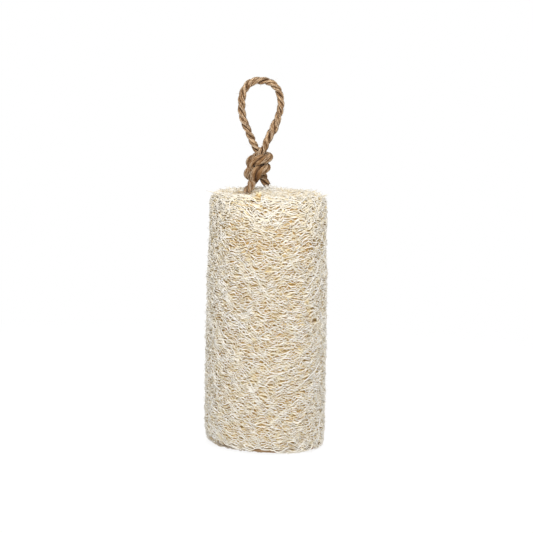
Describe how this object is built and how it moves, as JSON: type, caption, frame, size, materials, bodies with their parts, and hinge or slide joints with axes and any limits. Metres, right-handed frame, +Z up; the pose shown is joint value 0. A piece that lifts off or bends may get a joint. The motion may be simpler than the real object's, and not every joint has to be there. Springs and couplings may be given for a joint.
{
  "type": "natural loofah sponge",
  "caption": "Whole cylindrical loofah sponge of dried plant fibre, standing on its cut end, with a knotted jute cord loop at the top for hanging.",
  "frame": {"origin": "middle of the sponge's flat base, on the surface that it stands on", "axes": "+Z up along the sponge's length towards the cord, -Y towards the side that shows the knot as pictured, +X to the right seen from there"},
  "size_m": [0.0726, 0.0716, 0.2165],
  "materials": {
    "loofah_fibre": "dry, matt, springy net of bleached ivory plant fibres with ochre shade in the gaps",
    "jute": "dry, hairy three-strand jute, tan brown"
  },
  "bodies": {
    "root": {"loofah_sponge": "loofah_fibre", "hanging_loop": "jute", "cord_knot": "jute", "cord_leg_left": "jute", "cord_leg_right": "jute"}
  },
  "joints": []
}
